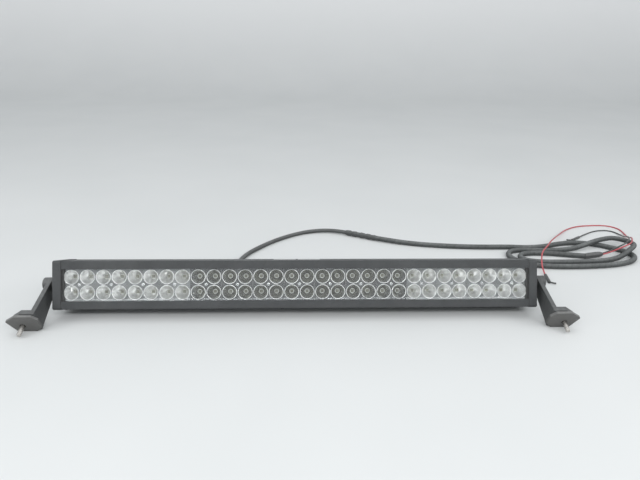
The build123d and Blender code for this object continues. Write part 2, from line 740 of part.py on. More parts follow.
def terminal(name, start, heading, crank):
    """A sleeved crimp on a wire's end, with a bare round tab cranked to one side, on the table."""
    along_x = (0, 90, 0)
    from_start = (Align.CENTER, Align.CENTER, Align.MIN)
    with BuildPart(Plane(Location(start, (0, 0, heading)))) as piece:
        Cylinder(terminal_r, sleeve_length, rotation=along_x, align=from_start)
        chamfer(piece.edges().filter_by(GeomType.CIRCLE), terminal_chamfer)
        with Locations(Location((sleeve_length - tab_r, 0, 0), (0, 0, crank))):
            Cylinder(tab_r, tab_length, rotation=along_x, align=from_start)
            with Locations((tab_length, 0, 0)):
                Sphere(tab_bead_r)
    keep(piece, name, "table")


# headings are measured from +X, and the cranks from the headings
terminal("red_terminal", red_end, -101, 67)
terminal("black_terminal", black_end, 216, -47)


# ---- hand over: each piece where it stands ---------------------------------------------------
places["table"] = Location()
os.makedirs("parts", exist_ok=True)
for name, (part, where) in pieces.items():
    standing_part = places[where] * part
    standing_part.label = name
    export_step(standing_part, f"parts/{name}.step")
pivot = places["leg"].position
print(f"{len(pieces)} pieces, pivot at y {pivot.Y:.3f} z {pivot.Z:.3f}")
print(f"foot spread {foot_spread:.3f} degrees")
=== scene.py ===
# %% [markdown]
# # An LED light bar leaning back on its own two feet
# The bar is a black extruded housing with thirty columns of lamp cups behind a clear window.
# Its drawing comes in as a fixed frame in metres. Everything here is placed from that frame, so first the
# frame is loaded.

# %% Load the frame
import json
from math import cos, hypot, pi, radians, sin, sqrt

import bpy
from mathutils import Matrix, Vector


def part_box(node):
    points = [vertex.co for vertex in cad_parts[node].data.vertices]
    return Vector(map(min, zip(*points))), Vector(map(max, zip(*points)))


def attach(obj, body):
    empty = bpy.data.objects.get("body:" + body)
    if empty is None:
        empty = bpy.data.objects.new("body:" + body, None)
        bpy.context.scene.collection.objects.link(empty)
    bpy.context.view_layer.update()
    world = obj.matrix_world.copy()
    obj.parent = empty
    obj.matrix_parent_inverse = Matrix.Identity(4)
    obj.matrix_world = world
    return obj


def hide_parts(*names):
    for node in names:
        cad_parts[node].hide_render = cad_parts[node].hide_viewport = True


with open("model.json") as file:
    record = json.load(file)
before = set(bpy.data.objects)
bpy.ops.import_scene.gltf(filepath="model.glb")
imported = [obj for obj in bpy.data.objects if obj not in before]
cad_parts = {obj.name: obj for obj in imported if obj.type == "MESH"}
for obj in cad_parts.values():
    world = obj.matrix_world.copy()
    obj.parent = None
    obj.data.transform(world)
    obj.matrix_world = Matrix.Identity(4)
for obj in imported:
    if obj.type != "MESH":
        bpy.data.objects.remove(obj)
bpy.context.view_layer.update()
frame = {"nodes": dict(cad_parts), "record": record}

nodes = frame["nodes"]

# %% [markdown]
# ## Small tools
# An edit-mode operator acts on whatever is selected, so each step starts from nothing selected.
# The bar leans back, and its pieces are easier to draw upright. They are drawn in the bar's own
# frame (x along it, y back from its front face, z up) and then leaned over with one matrix.

# %% Selecting, settling and leaning
MM = 0.001
LEAN = radians(22)
PIVOT_FROM_FRONT, MID_HEIGHT = 32, 40    # the pivot in the bar's own frame, in millimetres
pivot_box = [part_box("pivot_bolt_left"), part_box("pivot_bolt_right")]
pivot_y, pivot_z = [(pivot_box[0][0][i] + pivot_box[0][1][i]) / 2 for i in (1, 2)]
BAR = (Matrix.Translation((0, pivot_y, pivot_z)) @ Matrix.Rotation(-LEAN, 4, "X")
       @ Matrix.Translation((0, -PIVOT_FROM_FRONT * MM, -MID_HEIGHT * MM)))


def nothing_selected():
    if bpy.context.object and bpy.context.object.mode != "OBJECT":
        bpy.ops.object.mode_set(mode="OBJECT")
    bpy.ops.object.select_all(action="DESELECT")


def only(piece):
    """Selects one object and makes it the active one."""
    nothing_selected()
    piece.select_set(True)
    bpy.context.view_layer.objects.active = piece
    return piece


def named(name):
    """Names the object that an operator has just added."""
    piece = bpy.context.object
    piece.name = piece.data.name = name
    return piece


def pick(piece, kind, test):
    """In edit mode, selects the vertices, edges or faces whose middle passes the test."""
    bpy.ops.object.mode_set(mode="OBJECT")
    mesh = piece.data
    for group in (mesh.vertices, mesh.edges, mesh.polygons):
        for item in group:
            item.select = False
    for item in {"VERT": mesh.vertices, "EDGE": mesh.edges, "FACE": mesh.polygons}[kind]:
        if kind == "VERT":
            middle = item.co
        elif kind == "EDGE":
            middle = (mesh.vertices[item.vertices[0]].co + mesh.vertices[item.vertices[1]].co) / 2
        else:
            middle = item.center
        item.select = bool(test(middle) if kind != "FACE" else test(middle, item.normal))
    bpy.ops.object.mode_set(mode="EDIT")
    bpy.ops.mesh.select_mode(type=kind)


def settled(piece, matrix=Matrix.Identity(4)):
    """Writes the object's place, and a further matrix, into its mesh."""
    only(piece)
    bpy.ops.object.transform_apply(location=True, rotation=True, scale=True)
    piece.data.transform(matrix)
    piece.data.update()
    return piece


def copied(piece, name, matrix=Matrix.Identity(4)):
    """A copy with its own mesh, moved by a matrix."""
    twin = piece.copy()
    twin.data = piece.data.copy()
    twin.name = twin.data.name = name
    bpy.context.scene.collection.objects.link(twin)
    twin.data.transform(matrix)
    return twin


def joined(pieces, name):
    nothing_selected()
    for piece in pieces:
        piece.select_set(True)
    bpy.context.view_layer.objects.active = pieces[0]
    bpy.ops.object.join()
    return named(name)


def applied(piece, kind, **settings):
    """Adds a modifier, sets it up and applies it."""
    only(piece)
    modifier = piece.modifiers.new(kind.title(), kind)
    for key, value in settings.items():
        setattr(modifier, key, value)
    bpy.ops.object.modifier_apply(modifier=modifier.name)
    return piece


def finished(piece, body, slot, *stands_for, angle=35):
    """Smooths, rides a body and hides the drawing's own solids; the slot is not used."""
    only(piece)
    if piece.type == "MESH":
        bpy.ops.object.shade_smooth_by_angle(angle=radians(angle))
    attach(piece, body)
    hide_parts(*stands_for)
    return piece


print("pivot at", round(pivot_y, 5), round(pivot_z, 5))

# %% [markdown]
# ## The camera
# The eye stands about 0.8 m in front and 0.46 m up, and looks down by 22 degrees, square to the
# leaning window. A 29 mm lens takes in the whole bar with its feet. The three directions of
# the camera are written out as a matrix, because they carry a slight roll.

# %% Camera
camera_data = bpy.data.cameras.new("Camera")
camera_data.lens = 29.25
camera_data.sensor_width = 36
camera_data.clip_start = 0.02
camera = bpy.data.objects.new("Camera", camera_data)
bpy.context.scene.collection.objects.link(camera)
right = Vector((0.99908, -0.04001, 0.01551))
up = Vector((0.00079, 0.37859, 0.92557))
forward = Vector((0.04290, 0.92470, -0.37827))
camera.matrix_world = (Matrix.Translation((-0.0029, -0.7829, 0.4595))
                       @ Matrix((right, up, -forward)).transposed().to_4x4())
bpy.context.scene.camera = camera
print("camera looks down", round(-forward.z, 3))

# %% [markdown]
# ## Cords
# A lead leaves a gland in the back of the bar, meets a thicker bundle in a taped joint, and ends
# in a loose hank with two thin wires. Each is a smooth NURBS curve with a round bevel: order 3
# and the endpoint setting are given after the points, or the curve would be straight runs.

# %% Routes, in millimetres
LEAD_R, LOOM_R, WIRE_R = 4.5, 5.5, 1.5
lead_route = [(-135, 44.1, 41.2), (-135, 88.1, 23.4), (-134, 137, 6.5), (-131, 190, 4.5), (-115, 246, 4.5),
              (-83, 294, 4.5), (-45, 338, 4.5), (2, 374, 4.5), (44, 388, 5.5), (84, 385, 7), (112, 372, 7)]
loom_route = [(180, 335, 7), (206, 322, 7), (252, 307, 5.5), (305, 295, 5.5), (362, 287.5, 5.5),
              (418, 284.5, 5.5), (470, 285.5, 5.5), (514, 281, 5.5)]
# the first turn goes out along the back and home along the front
loom_route += [(556, 286, 5.5), (600, 304, 5.5), (645, 311, 5.5), (686, 299, 5.5), (715, 277, 5.5),
               (732, 255, 5.5), (737, 231, 5.5), (719, 208, 5.5), (688, 193, 5.5), (645, 184, 5.5),
               (598, 180, 5.5), (550, 179, 5.5), (508, 183, 5.5), (475, 197, 5.5), (456, 225, 5.5),
               (461, 254, 5.5), (486, 268, 5.5)]
# the second rides over the first near its right-hand fold
loom_route += [(524, 266, 5.5), (564, 264, 5.5), (604, 270, 5.5), (638, 278, 9), (668, 287, 17),
               (696, 298, 18.5), (724, 308, 18.5), (749, 306, 15), (760, 284, 15), (752, 262, 18),
               (732, 243, 18.5), (708, 228, 10), (682, 215, 6), (642, 206, 5.5), (598, 203, 5.5),
               (550, 202, 5.5), (511, 203, 5.5), (484, 212, 5.5), (478, 231, 5.5), (492, 247, 5.5)]
# the last half turn ends in the boot, inside the hank
loom_route += [(521, 251, 5.5), (556, 248, 5.5), (590, 239, 6), (627, 231, 6.5)]
red_route = [(668.4, 240.1, 6.5), (683, 240, 10.5), (699, 238, 20), (717, 239, 28), (735, 250, 30),
             (749, 271, 30), (764, 297, 24), (781, 331, 8), (799, 372, 1.5), (806, 412, 1.5),
             (784, 434, 1.5), (742, 433, 1.5), (700, 425, 1.5), (660, 398, 2), (629, 361, 6),
             (605, 328, 14), (581, 292, 24), (558, 262, 29), (538, 234, 29), (516, 209, 28),
             (505, 187, 22), (500, 167, 8), (498, 146, 3)]
black_route = [(667.6, 243.9, 6.5), (682, 245, 10.5), (698, 244, 20), (715, 246, 28), (731, 257, 30),
               (746, 277, 30), (761, 305, 23), (777, 340, 7), (785, 374, 1.5), (774, 398, 1.5),
               (740, 397, 1.5), (704, 376, 1.5), (672, 350, 3)]


def curve_along(name, route, radius, resolution=12):
    """A smooth round cord through the air and along the floor, from a route in millimetres."""
    data = bpy.data.curves.new(name, "CURVE")
    data.dimensions = "3D"
    data.resolution_u = resolution
    data.render_resolution_u = resolution
    data.bevel_depth = radius * MM
    data.bevel_resolution = 5
    data.use_fill_caps = True
    spline = data.splines.new("NURBS")
    spline.points.add(len(route) - 1)
    for point, place in zip(spline.points, route):
        point.co = (place[0] * MM, place[1] * MM, place[2] * MM, 1)
    spline.order_u = 3
    spline.use_endpoint_u = True
    piece = bpy.data.objects.new(name, data)
    bpy.context.scene.collection.objects.link(piece)
    return piece


def line_of(route, resolution=12):
    """Points read from the route's own spline, and its length, in metres."""
    bare = curve_along("bare_line", route, 0, resolution)
    bare.data.bevel_depth = 0
    bare.data.use_fill_caps = False
    mesh = bpy.data.meshes.new_from_object(bare.evaluated_get(bpy.context.evaluated_depsgraph_get()))
    points = [vertex.co.copy() for vertex in mesh.vertices]
    bpy.data.objects.remove(bare)
    length = sum((b - a).length for a, b in zip(points, points[1:]))
    return points, length


cords = {}
for name, route, radius in (("power_cable", lead_route, LEAD_R), ("wiring_loom", loom_route, LOOM_R),
                            ("red_lead", red_route, WIRE_R), ("black_lead", black_route, WIRE_R)):
    cords[name] = curve_along(name, route, radius)
    print(name, "length", round(line_of(route)[1], 3))

# %% [markdown]
# ## Floor, backdrop and light
# A pale floor curves up into a pale backdrop, so no hard corner draws the eye. One long lamp, high
# in front, gives the narrow shadow under the bar. A weak broad one overhead and one at each side
# fill it. The world is brighter above than at eye level: the mirror cups show it, and their lower
# halves look up.

# %% Floor and backdrop in one sweep
bpy.ops.mesh.primitive_plane_add(size=1, location=(0.2, -0.2, 0))
sweep = named("studio_sweep")
sweep.scale = (14, 6, 1)
settled(sweep)
pick(sweep, "EDGE", lambda middle: middle.y > 2.7)
CURVE_STEP, WALL_RISE = 0.3, 5
for turn in range(1, 10):
    step = radians(turn * 10)
    bpy.ops.mesh.extrude_region_move(
        TRANSFORM_OT_translate={"value": (0, CURVE_STEP * cos(step), CURVE_STEP * sin(step))})
bpy.ops.mesh.extrude_region_move(TRANSFORM_OT_translate={"value": (0, 0, WALL_RISE)})
only(sweep)
bpy.ops.object.shade_smooth()


def material(name):
    """A new material with its Principled shader and output."""
    made = bpy.data.materials.new(name)
    made.use_nodes = True
    return made, made.node_tree.nodes, made.node_tree.links, made.node_tree.nodes["Principled BSDF"]


pale, tree, wires, shader = material("pale floor")
shader.inputs["Roughness"].default_value = 0.55
shader.inputs["Specular IOR Level"].default_value = 0.25
place = tree.new("ShaderNodeTexCoord")
mottle = tree.new("ShaderNodeTexNoise")
mottle.inputs["Scale"].default_value = 3
shade = tree.new("ShaderNodeValToRGB")
shade.color_ramp.elements[0].color = (0.64, 0.66, 0.66, 1)
shade.color_ramp.elements[1].color = (0.70, 0.715, 0.715, 1)
wires.new(place.outputs["Object"], mottle.inputs["Vector"])
wires.new(mottle.outputs["Fac"], shade.inputs["Fac"])
high = tree.new("ShaderNodeSeparateXYZ")
rising = tree.new("ShaderNodeMapRange")
rising.inputs["From Min"].default_value, rising.inputs["From Max"].default_value = 0.0, 0.7
lighter = tree.new("ShaderNodeMix")
lighter.data_type = "RGBA"
lighter.inputs[7].default_value = (0.95, 0.96, 0.96, 1)
wires.new(place.outputs["Object"], high.inputs["Vector"])
wires.new(high.outputs["Z"], rising.inputs["Value"])
wires.new(rising.outputs["Result"], lighter.inputs["Factor"])
wires.new(shade.outputs["Color"], lighter.inputs[6])
wires.new(lighter.outputs[2], shader.inputs["Base Color"])
sweep.data.materials.append(pale)


def lamp(name, spot, aim, size, power):
    data = bpy.data.lights.new(name, "AREA")
    data.shape = "RECTANGLE"
    data.size, data.size_y = size
    data.energy = power
    made = bpy.data.objects.new(name, data)
    bpy.context.scene.collection.objects.link(made)
    made.location = spot
    made.rotation_euler = (Vector(aim) - Vector(spot)).to_track_quat("-Z", "Y").to_euler()


lamp("front_key", (0.1, -1.75, 1.55), (0.1, 0.0, 0), (2.8, 0.35), 26)
lamp("overhead", (0.1, 0.1, 2.0), (0.1, 0.1, 0), (2.6, 1.2), 3)
lamp("left_fill", (-1.8, -0.9, 1.1), (0, 0, 0), (0.9, 0.9), 9)
lamp("right_fill", (2.0, -0.7, 1.3), (0.2, 0.1, 0), (0.9, 0.9), 9)

world = bpy.data.worlds.new("soft room")
bpy.context.scene.world = world
world.use_nodes = True
tree, wires = world.node_tree.nodes, world.node_tree.links
place = tree.new("ShaderNodeTexCoord")
parts = tree.new("ShaderNodeSeparateXYZ")
ramp = tree.new("ShaderNodeValToRGB")
ramp.color_ramp.elements[0].position = 0.05
ramp.color_ramp.elements[0].color = (0.50, 0.51, 0.52, 1)
ramp.color_ramp.elements[1].position = 0.75
ramp.color_ramp.elements[1].color = (0.86, 0.88, 0.90, 1)
wires.new(place.outputs["Generated"], parts.inputs["Vector"])
wires.new(parts.outputs["Z"], ramp.inputs["Fac"])
wires.new(ramp.outputs["Color"], tree["Background"].inputs["Color"])
tree["Background"].inputs["Strength"].default_value = 0.9
bpy.context.scene.view_settings.view_transform = "Standard"
print("lamps and world set")

# %% [markdown]
# ## Effects that several finishes share
# A node group is built once and placed in each material with its own values. Three are enough:
# a fine grain for powder coat and moulded plastic, settled dust for faces that look up, and a
# wrapped tape whose turns follow a cord's own UV map.

# %% Node groups


def effect(name, inputs, outputs):
    """A shader node group with named inputs and outputs."""
    group = bpy.data.node_groups.new(name, "ShaderNodeTree")
    for label, kind, value in inputs:
        socket = group.interface.new_socket(name=label, in_out="INPUT", socket_type=kind)
        if value is not None:
            socket.default_value = value
    for label, kind in outputs:
        group.interface.new_socket(name=label, in_out="OUTPUT", socket_type=kind)
    tree = group.nodes
    return group, tree, group.links, tree.new("NodeGroupInput"), tree.new("NodeGroupOutput")


def arithmetic(tree, wires, operation, first, second):
    """A Math node; each side is a socket or a number."""
    node = tree.new("ShaderNodeMath")
    node.operation = operation
    for socket, value in zip(node.inputs, (first, second)):
        if hasattr(value, "node"):
            wires.new(value, socket)
        else:
            socket.default_value = value
    return node.outputs[0]


def blended(tree, wires, amount, first, second):
    """A colour between two; each is a socket or four numbers."""
    node = tree.new("ShaderNodeMix")
    node.data_type = "RGBA"
    sides = (node.inputs["Factor"], amount), (node.inputs[6], first), (node.inputs[7], second)
    for socket, value in sides:
        if hasattr(value, "node"):
            wires.new(value, socket)
        else:
            socket.default_value = value
    return node.outputs[2]


grain, tree, wires, given, made = effect(
    "fine grain", [("Place", "NodeSocketVector", None), ("Grains per metre", "NodeSocketFloat", 1200.0)],
    [("Height", "NodeSocketFloat"), ("Mottle", "NodeSocketFloat")])
fine = tree.new("ShaderNodeTexNoise")
fine.inputs["Detail"].default_value = 3
broad = tree.new("ShaderNodeTexNoise")
broad.inputs["Detail"].default_value = 4
wires.new(given.outputs["Place"], fine.inputs["Vector"])
wires.new(given.outputs["Place"], broad.inputs["Vector"])
wires.new(given.outputs["Grains per metre"], fine.inputs["Scale"])
sparser = arithmetic(tree, wires, "MULTIPLY", given.outputs["Grains per metre"], 0.03)
wires.new(sparser, broad.inputs["Scale"])
wires.new(fine.outputs["Fac"], made.inputs["Height"])
wires.new(broad.outputs["Fac"], made.inputs["Mottle"])

dust, tree, wires, given, made = effect(
    "settled dust", [("Place", "NodeSocketVector", None), ("Amount", "NodeSocketFloat", 0.3)],
    [("Mask", "NodeSocketFloat")])
speck = tree.new("ShaderNodeTexNoise")
speck.inputs["Scale"].default_value = 220
speck.inputs["Detail"].default_value = 6
cloud = tree.new("ShaderNodeTexNoise")
cloud.inputs["Scale"].default_value = 18
surface = tree.new("ShaderNodeNewGeometry")
facing = tree.new("ShaderNodeSeparateXYZ")
wires.new(given.outputs["Place"], speck.inputs["Vector"])
wires.new(given.outputs["Place"], cloud.inputs["Vector"])
wires.new(surface.outputs["Normal"], facing.inputs["Vector"])
lying = arithmetic(tree, wires, "MAXIMUM", facing.outputs["Z"], 0.12)
patch = arithmetic(tree, wires, "MULTIPLY", speck.outputs["Fac"], cloud.outputs["Fac"])
amount = arithmetic(tree, wires, "MULTIPLY", arithmetic(tree, wires, "MULTIPLY", patch, 3.0), lying)
wires.new(arithmetic(tree, wires, "MULTIPLY", amount, given.outputs["Amount"]), made.inputs["Mask"])

tape, tree, wires, given, made = effect(
    "wrapped tape", [("Along", "NodeSocketFloat", 0.0), ("Around", "NodeSocketFloat", 0.0),
                     ("Turns", "NodeSocketFloat", 60.0)],
    [("Height", "NodeSocketFloat"), ("Edge", "NodeSocketFloat")])
wound = arithmetic(tree, wires, "ADD", arithmetic(tree, wires, "MULTIPLY", given.outputs["Along"],
                                                 given.outputs["Turns"]), given.outputs["Around"])
phase = arithmetic(tree, wires, "FRACT", wound, 0.0)
edge = arithmetic(tree, wires, "POWER", phase, 12.0)
wires.new(phase, made.inputs["Height"])
wires.new(edge, made.inputs["Edge"])
print("shared effects:", [group.name for group in (grain, dust, tape)])

# %% [markdown]
# ## Finishes
# Black powder coat is never black: its fine texture scatters light, and dust pales it further.
# Each finish below mixes two near colours by a mottle, sets its roughness the same way, and lets
# a small bump give the grain.

# %% A grained finish, and the ones made with it


def use(tree, wires, group, **values):
    """Places a shared effect; each value is a socket or a number."""
    node = tree.new("ShaderNodeGroup")
    node.node_tree = group
    for label, value in values.items():
        socket = node.inputs[label.replace("_", " ")]
        if hasattr(value, "node"):
            wires.new(value, socket)
        else:
            socket.default_value = value
    return node


def grained(name, dark, light, rough, grains=1200, depth=0.00006, dusty=0.25, specular=0.5, metallic=0.0,
            dust_colour=(0.35, 0.36, 0.36, 1)):
    """A solid, finely grained finish with mottled colour and settled dust."""
    made, tree, wires, shader = material(name)
    place = tree.new("ShaderNodeTexCoord").outputs["Object"]
    texture = use(tree, wires, grain, Place=place, Grains_per_metre=grains)
    settled_dust = use(tree, wires, dust, Place=place, Amount=dusty)
    body = blended(tree, wires, texture.outputs["Mottle"], (*dark, 1), (*light, 1))
    dusted = blended(tree, wires, settled_dust.outputs["Mask"], body, dust_colour)
    wires.new(dusted, shader.inputs["Base Color"])
    spread = tree.new("ShaderNodeMapRange")
    spread.inputs["To Min"].default_value, spread.inputs["To Max"].default_value = rough
    wires.new(texture.outputs["Mottle"], spread.inputs["Value"])
    wires.new(spread.outputs["Result"], shader.inputs["Roughness"])
    bump = tree.new("ShaderNodeBump")
    bump.inputs["Strength"].default_value = 1
    bump.inputs["Distance"].default_value = depth
    wires.new(texture.outputs["Height"], bump.inputs["Height"])
    wires.new(bump.outputs["Normal"], shader.inputs["Normal"])
    shader.inputs["Specular IOR Level"].default_value = specular
    shader.inputs["Metallic"].default_value = metallic
    return made


finishes = {
    "powder_coat": grained("black powder coat", (0.036, 0.039, 0.041), (0.056, 0.059, 0.061),
                           (0.42, 0.55), dusty=0.12, specular=0.3),
    "bracket_coat": grained("black cast bracket", (0.050, 0.053, 0.053), (0.072, 0.075, 0.075),
                            (0.45, 0.6), grains=700, depth=0.0001),
    "gasket_rubber": grained("silicone gasket", (0.03, 0.03, 0.03), (0.045, 0.045, 0.045), (0.6, 0.7)),
    "pad_rubber": grained("moulded rubber", (0.085, 0.085, 0.082), (0.115, 0.113, 0.11), (0.6, 0.75),
                          grains=900, dusty=0.45),
    "stainless": grained("turned stainless steel", (0.50, 0.48, 0.45), (0.62, 0.60, 0.57), (0.22, 0.34),
                         grains=2500, depth=0.00002, dusty=0.1, metallic=1.0),
    "zinc_steel": grained("bright zinc plate", (0.60, 0.61, 0.62), (0.72, 0.73, 0.74), (0.2, 0.32),
                          grains=2500, depth=0.00002, dusty=0.1, metallic=1.0),
    "black_steel": grained("black oxide steel", (0.045, 0.045, 0.047), (0.07, 0.07, 0.072),
                           (0.32, 0.45), grains=2000, depth=0.00003),
    "circuit_board": grained("white solder mask", (0.62, 0.63, 0.60), (0.70, 0.71, 0.68), (0.4, 0.5),
                             grains=500, dusty=0.0),
    "thermal_pad": grained("grey gap filler", (0.35, 0.37, 0.40), (0.42, 0.44, 0.47), (0.7, 0.8),
                           dusty=0.0),
    "gland_nylon": grained("black nylon", (0.035, 0.036, 0.036), (0.055, 0.056, 0.056), (0.38, 0.5),
                           grains=900),
    "bush_nylon": grained("black nylon bush", (0.040, 0.041, 0.041), (0.060, 0.061, 0.061), (0.4, 0.55),
                          grains=900),
    "copper_wire": grained("insulated conductor", (0.32, 0.03, 0.03), (0.45, 0.05, 0.04), (0.4, 0.5)),
    "label_vinyl": grained("blank white vinyl", (0.42, 0.43, 0.43), (0.49, 0.50, 0.50), (0.3, 0.42),
                           grains=300, depth=0.00001, dusty=0.1),
    "boot_plastic": grained("heat-shrink boot", (0.035, 0.037, 0.037), (0.06, 0.062, 0.062),
                            (0.35, 0.5), grains=600),
    "terminal_sleeve": grained("black crimp sleeve", (0.03, 0.032, 0.032), (0.05, 0.052, 0.052),
                               (0.35, 0.5)),
    "lead_rubber": grained("rubber sheath", (0.042, 0.046, 0.046), (0.07, 0.075, 0.074), (0.42, 0.58),
                           grains=900, dusty=0.3),
    "red_insulation": grained("red insulation", (0.42, 0.055, 0.07), (0.52, 0.085, 0.10), (0.32, 0.42),
                              grains=900, dusty=0.15),
    "black_insulation": grained("black insulation", (0.035, 0.038, 0.038), (0.055, 0.058, 0.058),
                                (0.35, 0.45), grains=900, dusty=0.15),
}
print(len(finishes), "grained finishes")


# %% Loom tape, whose turns follow the cord
def taped(name, turns, dark, light, depth):
    """Cloth tape wound round a cord: overlapping edges with painted shade along each turn's edge, and a
    weave between them.
    """
    made, tree, wires, shader = material(name)
    texture = tree.new("ShaderNodeTexCoord")
    across = tree.new("ShaderNodeSeparateXYZ")
    wires.new(texture.outputs["UV"], across.inputs["Vector"])
    wrap = use(tree, wires, tape, Along=across.outputs["X"], Around=across.outputs["Y"], Turns=turns)
    weave = use(tree, wires, grain, Place=texture.outputs["Object"], Grains_per_metre=1800)
    settled_dust = use(tree, wires, dust, Place=texture.outputs["Object"], Amount=0.35)
    cloth = blended(tree, wires, weave.outputs["Mottle"], (*dark, 1), (*light, 1))
    # Each turn's edge is darkened to 0.4 of the tape colour: painted shade along the edge where one turn
    # laps over the next.
    painted_edge_shade = (dark[0] * 0.4, dark[1] * 0.4, dark[2] * 0.4, 1)
    cloth_with_painted_edge_shade = blended(tree, wires, wrap.outputs["Edge"], cloth, painted_edge_shade)
    wires.new(blended(tree, wires, settled_dust.outputs["Mask"], cloth_with_painted_edge_shade, (0.35, 0.37, 0.37, 1)),
              shader.inputs["Base Color"])
    height = arithmetic(tree, wires, "ADD", wrap.outputs["Height"],
                        arithmetic(tree, wires, "MULTIPLY", weave.outputs["Height"], 0.25))
    bump = tree.new("ShaderNodeBump")
    bump.inputs["Distance"].default_value = depth
    wires.new(height, bump.inputs["Height"])
    wires.new(bump.outputs["Normal"], shader.inputs["Normal"])
    shader.inputs["Roughness"].default_value = 0.6
    return made


finishes["loom_plastic"] = taped("taped loom", 150, (0.034, 0.038, 0.038), (0.060, 0.066, 0.065), 0.0003)
finishes["cloth_tape"] = taped("cloth tape", 9, (0.036, 0.038, 0.038), (0.062, 0.066, 0.066), 0.0006)


# %% Clear window, mirror cups and phosphor
def window_finish():
    """Clear polycarbonate: glass to the eye, but it lets lamp light straight through to the cups."""
    made, tree, wires, shader = material("clear polycarbonate")
    shader.inputs["Base Color"].default_value = (0.95, 0.965, 0.96, 1)
    shader.inputs["Roughness"].default_value = 0.0
    shader.inputs["IOR"].default_value = 1.5
    shader.inputs["Transmission Weight"].default_value = 0.97
    clear = tree.new("ShaderNodeBsdfTransparent")
    clear.inputs["Color"].default_value = (0.9, 0.91, 0.905, 1)
    path = tree.new("ShaderNodeLightPath")
    light = arithmetic(tree, wires, "MAXIMUM", path.outputs["Is Shadow Ray"],
                       path.outputs["Is Diffuse Ray"])
    either = tree.new("ShaderNodeMixShader")
    wires.new(light, either.inputs["Fac"])
    wires.new(shader.outputs["BSDF"], either.inputs[1])
    wires.new(clear.outputs["BSDF"], either.inputs[2])
    wires.new(either.outputs["Shader"], tree["Material Output"].inputs["Surface"])
    return made


finishes["clear_lens"] = window_finish()


def metallised(name, dark, light, rough, cell, depth, patches=60):
    """Metallised plastic: mirror bright, with the small dimples of its moulding."""
    made, tree, wires, shader = material(name)
    place = tree.new("ShaderNodeTexCoord").outputs["Object"]
    dimple = tree.new("ShaderNodeTexVoronoi")
    dimple.feature = "SMOOTH_F1"
    dimple.inputs["Scale"].default_value = cell
    wires.new(place, dimple.inputs["Vector"])
    cloud = tree.new("ShaderNodeTexNoise")
    cloud.inputs["Scale"].default_value = patches
    wires.new(place, cloud.inputs["Vector"])
    body = blended(tree, wires, cloud.outputs["Fac"], (*dark, 1), (*light, 1))
    wires.new(body, shader.inputs["Base Color"])
    spread = tree.new("ShaderNodeMapRange")
    spread.inputs["To Min"].default_value, spread.inputs["To Max"].default_value = rough
    wires.new(cloud.outputs["Fac"], spread.inputs["Value"])
    wires.new(spread.outputs["Result"], shader.inputs["Roughness"])
    bump = tree.new("ShaderNodeBump")
    bump.inputs["Distance"].default_value = depth
    wires.new(dimple.outputs["Distance"], bump.inputs["Height"])
    wires.new(bump.outputs["Normal"], shader.inputs["Normal"])
    shader.inputs["Metallic"].default_value = 1.0
    return made


finishes["flood_reflector"] = metallised(
    "satin flood cup", (0.50, 0.505, 0.505), (1.0, 1.0, 1.0),
    (0.26, 0.36), 260, 0.0010, patches=130)
finishes["spot_reflector"] = metallised(
    "mirror spot cup", (0.24, 0.25, 0.245), (0.62, 0.63, 0.625),
    (0.06, 0.10), 260, 0.0002, patches=110)
rim_finish = metallised("satin rim", (0.90, 0.90, 0.91), (0.97, 0.97, 0.97), (0.34, 0.46), 900,
                        0.00005)
# The plates between the cups are bright metal, but they get a dark grey base colour: a painted reflection
# of the dark room around them.
flood_plate_painted_dark = metallised("satin plate between floods, painted dark reflection", (0.15, 0.155, 0.16), (0.28, 0.29, 0.295),
                         (0.26, 0.38), 120, 0.0004)
spot_plate_painted_dark = metallised("mirror plate between spots, painted dark reflection", (0.09, 0.095, 0.10), (0.17, 0.175, 0.18),
                        (0.18, 0.28), 120, 0.0001)


def phosphor_finish():
    made, tree, wires, shader = material("phosphor under a clear dome")
    place = tree.new("ShaderNodeTexCoord").outputs["Object"]
    speckle = tree.new("ShaderNodeTexNoise")
    speckle.inputs["Scale"].default_value = 3000
    wires.new(place, speckle.inputs["Vector"])
    wires.new(blended(tree, wires, speckle.outputs["Fac"], (0.12, 0.12, 0.09, 1), (0.20, 0.197, 0.145, 1)),
              shader.inputs["Base Color"])
    shader.inputs["Roughness"].default_value = 0.35
    shader.inputs["Coat Weight"].default_value = 1.0
    shader.inputs["Coat Roughness"].default_value = 0.03
    return made


finishes["led_phosphor"] = phosphor_finish()
print(len(finishes), "finishes in all")


def dressed(piece, *slots):
    """Gives a piece these finishes, in order, in place of any that it has."""
    piece.data.materials.clear()
    for slot_name in slots:
        piece.data.materials.append(finishes[slot_name] if isinstance(slot_name, str) else slot_name)
    return piece


# %% [markdown]
# ## The drawing's own solids
# Most turned and extruded parts already have their true shape in the drawing. They stay, and take
# the finish that the record names for them.

# %% Finishes for the drawing's nodes
for name, node in nodes.items():
    for index, held in enumerate(node.data.materials):
        node.data.materials[index] = finishes[held.name.split(".")[0]]
print("finishes on", len(nodes), "nodes")

# %% [markdown]
# ## Cords in their places
# The hank's end goes into a heat-shrunk boot, where the two thin wires come out. Each cord takes its
# finish and rides with the bar.

# %% Cords ride with the bar
for name, slot_name, stands_for in (("power_cable", "lead_rubber", ["power_lead"]),
                                    ("wiring_loom", "loom_plastic", ["loom", "loom_coil"]),
                                    ("red_lead", "red_insulation", ["red_wire"]),
                                    ("black_lead", "black_insulation", ["black_wire"])):
    dressed(cords[name], slot_name)
    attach(cords[name], "bar")
    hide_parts(*stands_for)


line_of(lead_route)[1]
line_of(loom_route)[1]
line_of(red_route)[1]
line_of(black_route)[1]

# %% [markdown]
# ## Reflector modules
# Each module holds four cups. One quarter is a square frame of faces bridged to a round mouth,
# and the cup is drawn down from that mouth ring by ring, along a parabola. Two arrays make four
# of it, the plate gets its edges, and a hole at its middle takes the screw. Flood cups have a
# satin surface, spot cups a mirror, and both have a paler rim.

